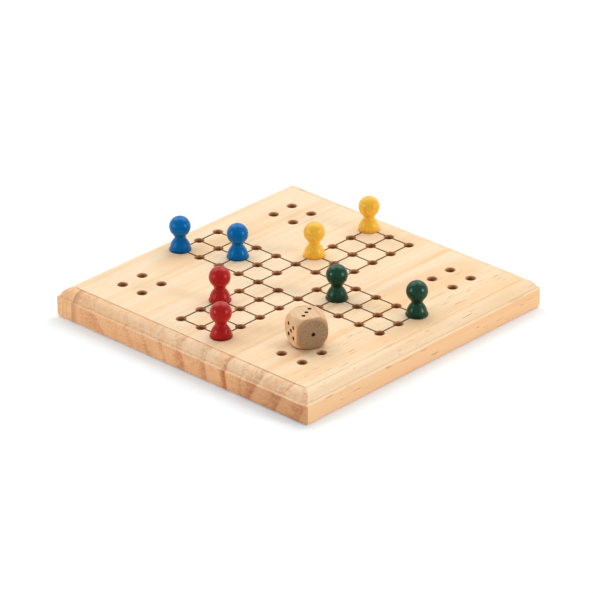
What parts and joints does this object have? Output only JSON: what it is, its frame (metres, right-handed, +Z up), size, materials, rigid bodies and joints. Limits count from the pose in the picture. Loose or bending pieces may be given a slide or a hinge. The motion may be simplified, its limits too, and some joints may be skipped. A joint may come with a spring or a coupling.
{
  "type": "wooden ludo and solitaire set",
  "caption": "Square moulded pine board with an engraved ludo track of peg holes on top and a solitaire field underneath, standing turned pawns and a rounded die.",
  "frame": {"origin": "middle of the board's underside, on the surface that the board lies on", "axes": "+Z up out of the ludo face, +Y along the grain of the planks, +X across the planks, away from the narrow edge plank"},
  "size_m": [0.166, 0.166, 0.0333],
  "materials": {
    "pine_main": "satin, sanded pine with open end grain",
    "pine_edge": "satin, sanded pine with open end grain",
    "paint_blue": "satin paint on turned wood",
    "paint_red": "satin paint on turned wood",
    "paint_yellow": "satin paint on turned wood",
    "paint_green": "satin paint on turned wood",
    "die_wood": "satin, bare beech with dark pips"
  },
  "bodies": {
    "board": {"board_main_plank": "pine_main", "board_edge_plank": "pine_edge"},
    "pawn_blue_1": {"pawn_blue_1": "paint_blue"},
    "pawn_blue_2": {"pawn_blue_2": "paint_blue"},
    "pawn_red_1": {"pawn_red_1": "paint_red"},
    "pawn_red_2": {"pawn_red_2": "paint_red"},
    "pawn_yellow_1": {"pawn_yellow_1": "paint_yellow"},
    "pawn_yellow_2": {"pawn_yellow_2": "paint_yellow"},
    "pawn_green_1": {"pawn_green_1": "paint_green"},
    "pawn_green_2": {"pawn_green_2": "paint_green"},
    "die": {"die": "die_wood"}
  },
  "joints": [
    {"name": "pawn_blue_1_lift", "type": "slide", "parent": "board", "child": "pawn_blue_1", "axis": [0, 0, 1], "range_m": [0, 0.02]},
    {"name": "pawn_blue_2_lift", "type": "slide", "parent": "board", "child": "pawn_blue_2", "axis": [0, 0, 1], "range_m": [0, 0.02]},
    {"name": "pawn_red_1_lift", "type": "slide", "parent": "board", "child": "pawn_red_1", "axis": [0, 0, 1], "range_m": [0, 0.02]},
    {"name": "pawn_red_2_lift", "type": "slide", "parent": "board", "child": "pawn_red_2", "axis": [0, 0, 1], "range_m": [0, 0.02]},
    {"name": "pawn_yellow_1_lift", "type": "slide", "parent": "board", "child": "pawn_yellow_1", "axis": [0, 0, 1], "range_m": [0, 0.02]},
    {"name": "pawn_yellow_2_lift", "type": "slide", "parent": "board", "child": "pawn_yellow_2", "axis": [0, 0, 1], "range_m": [0, 0.02]},
    {"name": "pawn_green_1_lift", "type": "slide", "parent": "board", "child": "pawn_green_1", "axis": [0, 0, 1], "range_m": [0, 0.02]},
    {"name": "pawn_green_2_lift", "type": "slide", "parent": "board", "child": "pawn_green_2", "axis": [0, 0, 1], "range_m": [0, 0.02]},
    {"name": "die_lift", "type": "slide", "parent": "board", "child": "die", "axis": [0, 0, 1], "range_m": [0, 0.03]}
  ]
}
